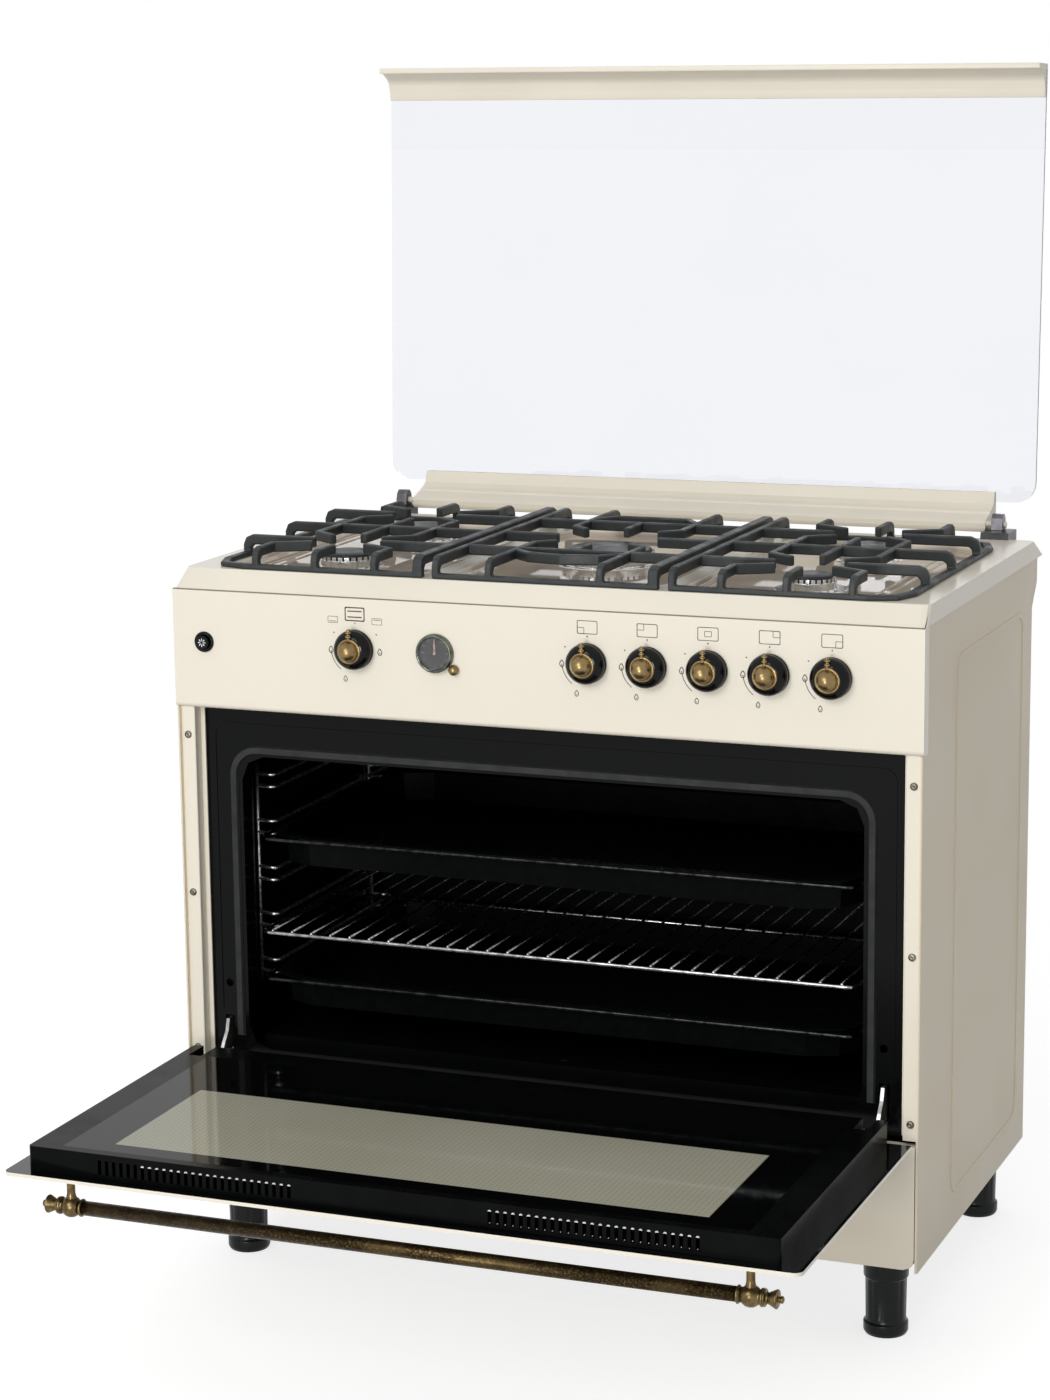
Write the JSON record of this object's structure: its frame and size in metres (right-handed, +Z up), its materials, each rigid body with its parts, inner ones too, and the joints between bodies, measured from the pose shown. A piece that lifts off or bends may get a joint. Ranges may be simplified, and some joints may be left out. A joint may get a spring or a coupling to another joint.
{
  "type": "range cooker",
  "caption": "Freestanding range cooker with gas burners under cast pan supports, a glass hob lid, a drop-down oven door, sliding trays and a storage flap.",
  "frame": {"origin": "on the floor, at the centre of the rectangle the cooker covers with its oven door open and its lid up; the cabinet's own centre is 190 mm behind it", "axes": "+X to the right as seen from the front, +Y towards the back, +Z up"},
  "size_m": [0.9, 1.0541, 1.4043],
  "materials": {
    "leg_plastic": "moulded black plastic, satin",
    "cream_enamel": "glossy cream enamel",
    "black_enamel": "glossy black enamel",
    "oven_enamel": "dark grey speckled enamel",
    "plated_steel": "zinc plated sheet, dull",
    "bright_wire": "chromed wire",
    "cast_aluminium": "cast aluminium, matt",
    "cast_iron": "black enamelled cast iron, satin",
    "clear_glass": "tempered clear glass",
    "door_glass": "tempered glass with printed borders",
    "seal_rubber": "black silicone rubber",
    "antique_brass": "aged brass, darkened",
    "knob_plastic": "black plastic, gloss",
    "dial_black": "black printed dial"
  },
  "bodies": {
    "cabinet": {"levelling_legs": "leg_plastic", "cabinet_floor": "plated_steel", "side_panels": "cream_enamel", "rear_panel": "plated_steel", "front_posts": "cream_enamel", "front_fixings": "plated_steel", "hob_top": "cream_enamel", "control_panel": "cream_enamel", "gas_manifold": "cast_aluminium", "oven_front_frame": "black_enamel", "oven_liner": "oven_enamel", "door_seal": "seal_rubber", "oven_floor_plate": "oven_enamel", "oven_burners": "plated_steel", "side_racks": "bright_wire", "door_hinge_arms": "plated_steel", "lid_hinge_blocks": "leg_plastic", "lid_hinge_ears": "plated_steel", "burner_heads": "cast_aluminium", "panel_bezels": "antique_brass", "clock_dial": "dial_black", "clock_glass": "clear_glass"},
    "oven_door": {"door_outer_glass": "door_glass", "door_inner_frame": "black_enamel", "door_inner_glass": "door_glass", "door_hinges": "plated_steel", "door_handle": "antique_brass"},
    "flap": {"lower_flap": "cream_enamel"},
    "lid": {"lid_glass": "clear_glass", "lid_top_rail": "cream_enamel", "lid_hinge_rail": "cream_enamel"},
    "lower_tray": {"tray_frame_lower": "black_enamel", "tray_pan_lower": "oven_enamel"},
    "upper_tray": {"tray_frame_upper": "black_enamel", "tray_pan_upper": "oven_enamel"},
    "shelf": {"wire_shelf": "bright_wire"},
    "left_support": {"pan_support_left": "cast_iron"},
    "centre_support": {"pan_support_centre": "cast_iron"},
    "right_support": {"pan_support_right": "cast_iron"},
    "hour_hand": {"clock_hour_hand": "antique_brass"},
    "minute_hand": {"clock_minute_hand": "antique_brass"},
    "clock_setter": {"clock_set_knob": "antique_brass"},
    "light_switch": {"light_button": "knob_plastic"},
    "cap_front_left": {"burner_cap_front_left": "black_enamel"},
    "cap_rear_left": {"burner_cap_rear_left": "black_enamel"},
    "cap_centre": {"burner_cap_centre": "black_enamel"},
    "cap_rear_right": {"burner_cap_rear_right": "black_enamel"},
    "cap_front_right": {"burner_cap_front_right": "black_enamel"},
    "knob_front_left_turning": {"knob_front_left": "knob_plastic", "knob_cap_front_left": "antique_brass"},
    "knob_rear_left_turning": {"knob_rear_left": "knob_plastic", "knob_cap_rear_left": "antique_brass"},
    "knob_centre_turning": {"knob_centre": "knob_plastic", "knob_cap_centre": "antique_brass"},
    "knob_rear_right_turning": {"knob_rear_right": "knob_plastic", "knob_cap_rear_right": "antique_brass"},
    "knob_front_right_turning": {"knob_front_right": "knob_plastic", "knob_cap_front_right": "antique_brass"},
    "knob_oven_turning": {"knob_oven": "knob_plastic", "knob_cap_oven": "antique_brass"}
  },
  "joints": [
    {"name": "door_drop", "type": "hinge", "parent": "cabinet", "child": "oven_door", "pos_m": [0, -0.1, 0.247], "axis": [1, 0, 0], "range_deg": [-90, 0]},
    {"name": "lid_fold", "type": "hinge", "parent": "cabinet", "child": "lid", "pos_m": [0, 0.458, 0.852], "axis": [-1, 0, 0], "range_deg": [-92.25, 0]},
    {"name": "flap_drop", "type": "hinge", "parent": "cabinet", "child": "flap", "pos_m": [0, -0.08, 0.103], "axis": [1, 0, 0], "range_deg": [0, 80]},
    {"name": "turn_front_left", "type": "hinge", "parent": "cabinet", "child": "knob_front_left_turning", "pos_m": [0.0653, -0.0905, 0.758], "axis": [0, -1, 0], "range_deg": [0, 210]},
    {"name": "turn_rear_left", "type": "hinge", "parent": "cabinet", "child": "knob_rear_left_turning", "pos_m": [0.1358, -0.0905, 0.758], "axis": [0, -1, 0], "range_deg": [0, 210]},
    {"name": "turn_centre", "type": "hinge", "parent": "cabinet", "child": "knob_centre_turning", "pos_m": [0.2063, -0.0905, 0.758], "axis": [0, -1, 0], "range_deg": [0, 210]},
    {"name": "turn_rear_right", "type": "hinge", "parent": "cabinet", "child": "knob_rear_right_turning", "pos_m": [0.2768, -0.0905, 0.758], "axis": [0, -1, 0], "range_deg": [0, 210]},
    {"name": "turn_front_right", "type": "hinge", "parent": "cabinet", "child": "knob_front_right_turning", "pos_m": [0.3473, -0.0905, 0.758], "axis": [0, -1, 0], "range_deg": [0, 210]},
    {"name": "turn_oven", "type": "hinge", "parent": "cabinet", "child": "knob_oven_turning", "pos_m": [-0.2175, -0.0905, 0.758], "axis": [0, -1, 0], "range_deg": [-90, 250]},
    {"name": "clock_set", "type": "hinge", "parent": "cabinet", "child": "clock_setter", "pos_m": [-0.095, -0.09, 0.741], "axis": [0, 1, 0], "range_deg": [-360, 360]},
    {"name": "minute_turn", "type": "hinge", "parent": "cabinet", "child": "minute_hand", "pos_m": [-0.118, -0.09, 0.759], "axis": [0, 1, 0], "range_deg": [-360, 360]},
    {"name": "hour_turn", "type": "hinge", "parent": "cabinet", "child": "hour_hand", "pos_m": [-0.118, -0.09, 0.759], "axis": [0, 1, 0], "range_deg": [-30, 30]},
    {"name": "light_push", "type": "slide", "parent": "cabinet", "child": "light_switch", "axis": [0, 1, 0], "range_m": [0, 0.003], "stiffness_N_per_m": 300},
    {"name": "lower_tray_slide", "type": "slide", "parent": "cabinet", "child": "lower_tray", "axis": [0, -1, 0], "range_m": [0, 0.26]},
    {"name": "shelf_slide", "type": "slide", "parent": "cabinet", "child": "shelf", "axis": [0, -1, 0], "range_m": [0, 0.26]},
    {"name": "upper_tray_slide", "type": "slide", "parent": "cabinet", "child": "upper_tray", "axis": [0, -1, 0], "range_m": [0, 0.26]},
    {"name": "left_support_lift", "type": "slide", "parent": "cabinet", "child": "left_support", "axis": [0, 0, 1], "range_m": [0, 0.07]},
    {"name": "centre_support_lift", "type": "slide", "parent": "cabinet", "child": "centre_support", "axis": [0, 0, 1], "range_m": [0, 0.07]},
    {"name": "right_support_lift", "type": "slide", "parent": "cabinet", "child": "right_support", "axis": [0, 0, 1], "range_m": [0, 0.07]},
    {"name": "cap_front_left_lift", "type": "slide", "parent": "cabinet", "child": "cap_front_left", "axis": [0, 0, 1], "range_m": [0, 0.03]},
    {"name": "cap_rear_left_lift", "type": "slide", "parent": "cabinet", "child": "cap_rear_left", "axis": [0, 0, 1], "range_m": [0, 0.03]},
    {"name": "cap_centre_lift", "type": "slide", "parent": "cabinet", "child": "cap_centre", "axis": [0, 0, 1], "range_m": [0, 0.03]},
    {"name": "cap_rear_right_lift", "type": "slide", "parent": "cabinet", "child": "cap_rear_right", "axis": [0, 0, 1], "range_m": [0, 0.03]},
    {"name": "cap_front_right_lift", "type": "slide", "parent": "cabinet", "child": "cap_front_right", "axis": [0, 0, 1], "range_m": [0, 0.03]}
  ],
  "couplings": [
    {"joint": "minute_turn", "follows": "clock_set", "ratio": 1},
    {"joint": "hour_turn", "follows": "clock_set", "ratio": 0.083333}
  ]
}
